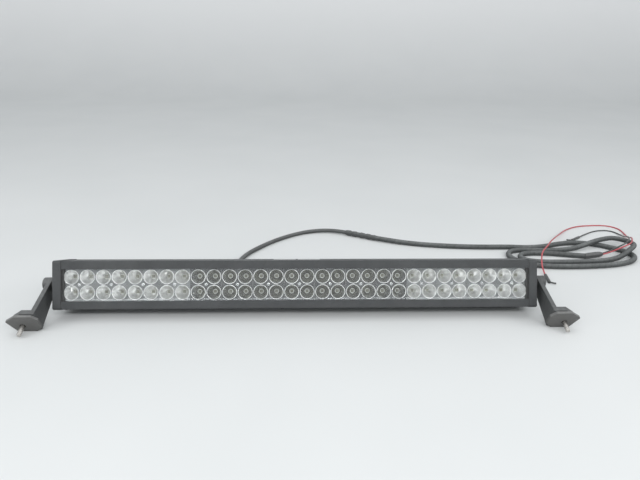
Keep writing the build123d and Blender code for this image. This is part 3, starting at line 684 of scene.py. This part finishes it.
# %% A module of four cups
MID_Z = MID_HEIGHT * MM
PITCH = 26 * MM
PLATE_Y = 7.35 * MM
SEAM = 0.12
MODULES, FLOODS = 15, 4          # in all, and of flood cups at each end
MIDDLE_MODULE = (MODULES + 1) // 2
TURNED_BACK = 1.3                # edges between neighbouring modules
STEP_FORWARD, STEP_HIGH, STRIP_HIGH = 0.28, 0.25, 3.05    # strips behind the housing's lips
WALL = 0.6
RIM_RINGS = [(12.3, 0.0), (12.2, -0.2), (11.95, -0.3), (11.6, -0.2), (11.35, 0.1)]
HOLE_R, POST_R, SEAT_Y, POST_DEPTH = 3.3, 4.2, 8.7, 12


def bowl_radius(depth):
    """Radius of the parabolic cup in millimetres, at a depth below its mouth."""
    return sqrt(11.35**2 - (11.35**2 - 16) * depth / 15)


BOWL_DEPTHS = (0.6, 1.6, 3, 4.6, 6.4, 8.4, 10.4, 12.2, 13.8, 14.8)
CUP_RINGS = RIM_RINGS + [(bowl_radius(depth), depth) for depth in BOWL_DEPTHS]


def cup_quarter(name):
    """A square of plate with one cup, standing in the bar's frame beside x 0."""
    nothing_selected()
    middle = Vector((PITCH / 2, PLATE_Y, MID_Z + PITCH / 2))
    bpy.ops.mesh.primitive_plane_add(size=PITCH, location=middle, rotation=(pi / 2, 0, 0))
    quarter = settled(named(name))
    bpy.ops.object.mode_set(mode="EDIT")
    bpy.ops.mesh.select_all(action="SELECT")
    bpy.ops.mesh.delete(type="ONLY_FACE")
    bpy.ops.mesh.select_all(action="SELECT")
    bpy.ops.mesh.subdivide(number_cuts=11)
    bpy.ops.mesh.select_all(action="DESELECT")
    bpy.ops.mesh.primitive_circle_add(vertices=48, radius=RIM_RINGS[0][0] * MM, location=middle,
                                      rotation=(pi / 2, 0, 0))
    bpy.ops.mesh.select_all(action="SELECT")
    bpy.ops.mesh.bridge_edge_loops()
    before, height = RIM_RINGS[0]
    pick(quarter, "EDGE", lambda at: hypot(at.x - middle.x, at.z - middle.z) < before * MM)
    for radius, depth in CUP_RINGS[1:]:
        bpy.ops.mesh.extrude_edges_move(TRANSFORM_OT_translate={"value": (0, (depth - height) * MM, 0)})
        bpy.ops.transform.resize(value=(radius / before, 1, radius / before), center_override=middle)
        before, height = radius, depth
    bpy.ops.object.mode_set(mode="OBJECT")
    return quarter


def cup_module(name, finish, plate_with_painted_reflection):
    """Four cups on one plate, with turned-back edges, a wall and a screw hole."""
    module = cup_quarter(name)
    for direction in ((-1, 0, 0), (0, 0, -1)):
        applied(module, "ARRAY", count=2, use_relative_offset=False, use_constant_offset=True,
                constant_offset_displace=[PITCH * value for value in direction],
                use_merge_vertices=True, merge_threshold=0.00002)
    for sign in (1, -1):
        pick(module, "VERT", lambda at: abs(at.x - sign * PITCH) < 0.05 * MM)
        bpy.ops.transform.translate(value=(-sign * SEAM * MM, 0, 0))
        pick(module, "EDGE", lambda at: abs(at.x - sign * (PITCH - SEAM * MM)) < 0.02 * MM)
        bpy.ops.mesh.extrude_edges_move(TRANSFORM_OT_translate={"value": (0, TURNED_BACK * MM, 0)})
    for sign in (1, -1):
        edge_z = MID_Z + sign * PITCH
        pick(module, "EDGE", lambda at: abs(at.z - edge_z) < 0.02 * MM and at.y < PLATE_Y + 0.01 * MM)
        bpy.ops.mesh.extrude_edges_move(
            TRANSFORM_OT_translate={"value": (0, -STEP_FORWARD * MM, sign * STEP_HIGH * MM)})
        bpy.ops.mesh.extrude_edges_move(TRANSFORM_OT_translate={"value": (0, 0, sign * STRIP_HIGH * MM)})
    bpy.ops.mesh.select_all(action="SELECT")
    bpy.ops.mesh.normals_make_consistent(inside=False)
    bpy.ops.object.mode_set(mode="OBJECT")
    plate = [face for face in module.data.polygons if face.center.y < PLATE_Y + 0.01 * MM]
    if sum(face.normal.y * face.area for face in plate) > 0:
        module.data.flip_normals()
    dressed(module, finish, rim_finish, plate_with_painted_reflection)
    for face in module.data.polygons:
        x = abs(face.center.x) - PITCH / 2
        z = abs(face.center.z - MID_Z) - PITCH / 2
        from_cup = hypot(x, z) / MM
        face.material_index = 2 if from_cup > 12.25 else int(from_cup > 11.3 and face.center.y < PLATE_Y)
    applied(module, "SOLIDIFY", thickness=WALL * MM, offset=-1)
    nothing_selected()
    bpy.ops.mesh.primitive_cylinder_add(vertices=32, radius=HOLE_R * MM, depth=6 * MM,
                                        location=(0, PLATE_Y, MID_Z), rotation=(pi / 2, 0, 0))
    drill = settled(named("drill"))
    applied(module, "BOOLEAN", object=drill, operation="DIFFERENCE", solver="EXACT")
    bpy.data.objects.remove(drill)
    nothing_selected()
    bpy.ops.mesh.primitive_cylinder_add(vertices=32, radius=POST_R * MM, depth=POST_DEPTH * MM,
                                        location=(0, (SEAT_Y + POST_DEPTH / 2) * MM, MID_Z),
                                        rotation=(pi / 2, 0, 0))
    post = dressed(settled(named("post")), plate_with_painted_reflection)
    return joined([module, post], name)


flood_module = cup_module("flood_module", "flood_reflector", flood_plate_painted_dark)
spot_module = cup_module("spot_module", "spot_reflector", spot_plate_painted_dark)
for number in range(1, MODULES + 1):
    at_an_end = number <= FLOODS or number > MODULES - FLOODS
    source = flood_module if at_an_end else spot_module
    slot_name = "flood_reflector" if source is flood_module else "spot_reflector"
    place = BAR @ Matrix.Translation(((number - MIDDLE_MODULE) * 2 * PITCH, 0, 0))
    module = copied(source, f"cup_module_{number:02d}", place)
    finished(module, "bar", slot_name, f"reflector_{number:02d}", angle=50)
print("faces in a module:", len(flood_module.data.polygons))
for source in (flood_module, spot_module):
    bpy.data.objects.remove(source)

# %% [markdown]
# ## Module screws
# A pan-head screw holds each module to the housing. The head is a short cylinder with a rounded
# front edge and a cross cut into it; two thin blocks taken away make the cross. One head is made
# and placed at the middle of every module.

# %% Cross-head screws
HEAD_R, HEAD_FRONT = 2.9, 7.12
SHANK_R, SHANK_LENGTH = 1.5, 14
nothing_selected()
bpy.ops.mesh.primitive_cylinder_add(vertices=32, radius=HEAD_R * MM, depth=(SEAT_Y - HEAD_FRONT) * MM,
                                    location=(0, (SEAT_Y + HEAD_FRONT) / 2 * MM, MID_Z),
                                    rotation=(pi / 2, 0, 0))
head = settled(named("head"))
pick(head, "EDGE", lambda at: at.y < (HEAD_FRONT + 0.01) * MM)
bpy.ops.mesh.bevel(offset=0.9 * MM, segments=4, affect="EDGES")
bpy.ops.object.mode_set(mode="OBJECT")
for wide, high in ((3.6, 0.75), (0.75, 3.6)):
    nothing_selected()
    bpy.ops.mesh.primitive_cube_add(size=1, location=(0, HEAD_FRONT * MM, MID_Z))
    blade = named("blade")
    blade.scale = (wide * MM, 1.5 * MM, high * MM)
    settled(blade)
    applied(head, "BOOLEAN", object=blade, operation="DIFFERENCE", solver="EXACT")
    bpy.data.objects.remove(blade)
nothing_selected()
bpy.ops.mesh.primitive_cylinder_add(vertices=16, radius=SHANK_R * MM, depth=SHANK_LENGTH * MM,
                                    location=(0, (SEAT_Y + SHANK_LENGTH / 2) * MM, MID_Z),
                                    rotation=(pi / 2, 0, 0))
head = joined([head, settled(named("shank"))], "head")
screws = []
for number in range(1, MODULES + 1):
    along = Matrix.Translation(((number - MIDDLE_MODULE) * 2 * PITCH, 0, MID_Z))
    turn = along @ Matrix.Rotation(number * 1.3, 4, "Y") @ Matrix.Translation((0, 0, -MID_Z))
    screws.append(copied(head, f"screw_{number:02d}", BAR @ turn))
bpy.data.objects.remove(head)
screws = dressed(joined(screws, "module_screws"), "zinc_steel")
finished(screws, "bar", "zinc_steel", "reflector_screws", angle=40)
print("screw faces:", len(screws.data.polygons))

# %% [markdown]
# ## Foot bolts
# The stud of each foot is an M8 bolt. A screw thread is one zigzag edge wound round the axis with
# the Screw modifier, over a plain core. The record's stud mounts give its place and direction.

# %% Threaded studs
STUD_R, ROOT_R, THREAD_PITCH = 4.0, 3.35, 1.25
mounts = {mount["name"]: mount for mount in frame["record"]["mounts"]}


def threaded(name, length):
    """A stud from z = 0 up to its length, with a chamfered end, along its own z axis."""
    nothing_selected()
    bpy.ops.mesh.primitive_plane_add(size=1, location=(0, 0, 0))
    thread = named(name)
    bpy.ops.object.mode_set(mode="EDIT")
    bpy.ops.mesh.select_all(action="SELECT")
    bpy.ops.mesh.merge(type="CENTER")
    bpy.ops.transform.translate(value=(ROOT_R * MM, 0, 0))
    half = THREAD_PITCH / 2 * MM
    for step in ((STUD_R - ROOT_R) * MM, (ROOT_R - STUD_R) * MM):
        bpy.ops.mesh.extrude_vertices_move(TRANSFORM_OT_translate={"value": (step, 0, half)})
    bpy.ops.object.mode_set(mode="OBJECT")
    turns = int(length / THREAD_PITCH) - 1
    applied(thread, "SCREW", angle=2 * pi, screw_offset=THREAD_PITCH * MM, iterations=turns, steps=28,
            render_steps=28, use_merge_vertices=True, merge_threshold=0.00001)
    nothing_selected()
    bpy.ops.mesh.primitive_cylinder_add(vertices=28, radius=(ROOT_R + 0.1) * MM, depth=length * MM,
                                        location=(0, 0, length / 2 * MM))
    core = settled(named("core"))
    pick(core, "EDGE", lambda at: abs(at.z - length * MM) < 0.01 * MM)
    bpy.ops.mesh.bevel(offset=0.8 * MM, segments=2, affect="EDGES")
    bpy.ops.object.mode_set(mode="OBJECT")
    return joined([thread, core], name)


def hex_head(name, across_flats, height):
    """A hexagon head above z = 0, its top edge chamfered."""
    nothing_selected()
    bpy.ops.mesh.primitive_cylinder_add(vertices=6, radius=across_flats / 2 / cos(pi / 6) * MM,
                                        depth=height * MM,
                                        location=(0, 0, height / 2 * MM))
    made = settled(named(name))
    pick(made, "EDGE", lambda at: abs(at.z - height * MM) < 0.01 * MM)
    bpy.ops.mesh.bevel(offset=0.7 * MM, segments=2, affect="EDGES")
    bpy.ops.object.mode_set(mode="OBJECT")
    return made


SHAFT_LENGTH = 31.0
MOUNT_TO_TIP = 8.1 + 0.8      # half the mount, and the chamfer beyond it
HEAD_FLATS, HEAD_HEIGHT = 13.0, 5.3
for side in ("left", "right"):
    mount = mounts[f"stud_{side}"]
    direction = Vector(mount["axis"]).normalized()
    tip = Vector(mount["pos_m"]) + direction * MOUNT_TO_TIP * MM
    turned = direction.to_track_quat("Z", "Y").to_matrix().to_4x4()
    stud = threaded("stud", SHAFT_LENGTH)
    head = hex_head("head", HEAD_FLATS, HEAD_HEIGHT)
    head.data.transform(Matrix.Rotation(pi, 4, "X"))
    bolt = joined([stud, head], f"threaded_bolt_{side}")
    settled(bolt, Matrix.Translation(tip - direction * SHAFT_LENGTH * MM) @ turned)
    finished(dressed(bolt, "stainless"), f"{side}_bracket", "stainless", f"foot_bolt_{side}", angle=25)
print("bolt faces:", len(bolt.data.polygons))

# %% [markdown]
# ## Brackets and rubber pads with soft edges
# The drawing's edges are razor sharp, and a cast bracket or a moulded pad never is. A copy of each
# solid is merged, its flat faces are dissolved to one face each, and a small bevel catches light.

# %% Softened copies of the drawing's solids


def softened(name, node_name, body, slot_name, width, segments=2):
    """A copy of a node with merged vertices and bevelled edges."""
    twin = copied(nodes[node_name], name)
    only(twin)
    twin.hide_viewport = twin.hide_render = False
    bpy.ops.object.mode_set(mode="EDIT")
    bpy.ops.mesh.select_all(action="SELECT")
    bpy.ops.mesh.remove_doubles(threshold=0.000005)
    bpy.ops.mesh.dissolve_limited(angle_limit=radians(1))
    bpy.ops.object.mode_set(mode="OBJECT")
    applied(twin, "BEVEL", width=width * MM, segments=segments, limit_method="ANGLE",
            angle_limit=radians(38))
    finished(dressed(twin, slot_name), body, slot_name, node_name, angle=35)
    return twin


for side in ("left", "right"):
    softened(f"cast_bracket_{side}", f"bracket_{side}", f"{side}_bracket", "bracket_coat", 0.9)
    softened(f"rubber_foot_{side}", f"foot_pad_{side}", f"{side}_bracket", "pad_rubber", 1.3, 3)
print("softened brackets and pads")

# %% [markdown]
# ## The taped joint and the boot
# Where the lead meets the bundle, cloth tape is wound over both, thick and uneven. At the far end
# a shrunk boot closes over the wires. Both are a ring extruded along its axis, each ring a little
# wider or narrower than the last, so the wraps and the shrink marks stand in the surface itself.

# %% Ring by ring along an axis


def lathe_along(name, start, end, radii, wobble, body, slot_name, node_name):
    """A round solid between two points, with a list of radii spaced evenly along it."""
    start, end = Vector(start) * MM, Vector(end) * MM
    length = (end - start).length
    nothing_selected()
    bpy.ops.mesh.primitive_circle_add(vertices=28, radius=radii[0] * MM, fill_type="NGON",
                                      location=(0, 0, 0))
    made = named(name)
    bpy.ops.object.mode_set(mode="EDIT")
    bpy.ops.mesh.select_all(action="SELECT")
    step = length / (len(radii) - 1)
    here = 0.0
    for number, (before, radius) in enumerate(zip(radii, radii[1:])):
        bpy.ops.mesh.extrude_region_move(TRANSFORM_OT_translate={"value": (0, 0, step)})
        here += step
        slip = (wobble * sin(number * 2.1) * MM, wobble * cos(number * 1.7) * MM, 0)
        bpy.ops.transform.resize(value=(radius / before,) * 2 + (1,), center_override=(0, 0, here))
        if 0 < number < len(radii) - 3:
            bpy.ops.transform.translate(value=slip)
    bpy.ops.mesh.select_all(action="SELECT")
    bpy.ops.mesh.normals_make_consistent(inside=False)
    bpy.ops.object.mode_set(mode="OBJECT")
    turned = (end - start).to_track_quat("Z", "Y").to_matrix().to_4x4()
    settled(made, Matrix.Translation(start) @ turned)
    return finished(dressed(made, slot_name), body, slot_name, node_name, angle=50)


wraps = [5.9 + 0.55 * sin(number * 0.9) + 0.35 * (number % 3 == 0) for number in range(30)]
wraps = [5.0, 5.6] + wraps + [5.7, 5.3]
lathe_along("taped_joint", lead_route[-1], loom_route[0], wraps, 0.12, "bar", "cloth_tape", "lead_joint")
shrunk = [5.7, 6.1, 6.3, 6.45, 6.4, 6.3, 6.35, 6.45, 6.4, 6.2, 6.0, 5.2, 3.6]
lathe_along("shrunk_boot", (622, 230, 6.5), (668, 242, 6.5), shrunk, 0.03, "bar", "boot_plastic",
            "loom_boot")
print("joint and boot made")
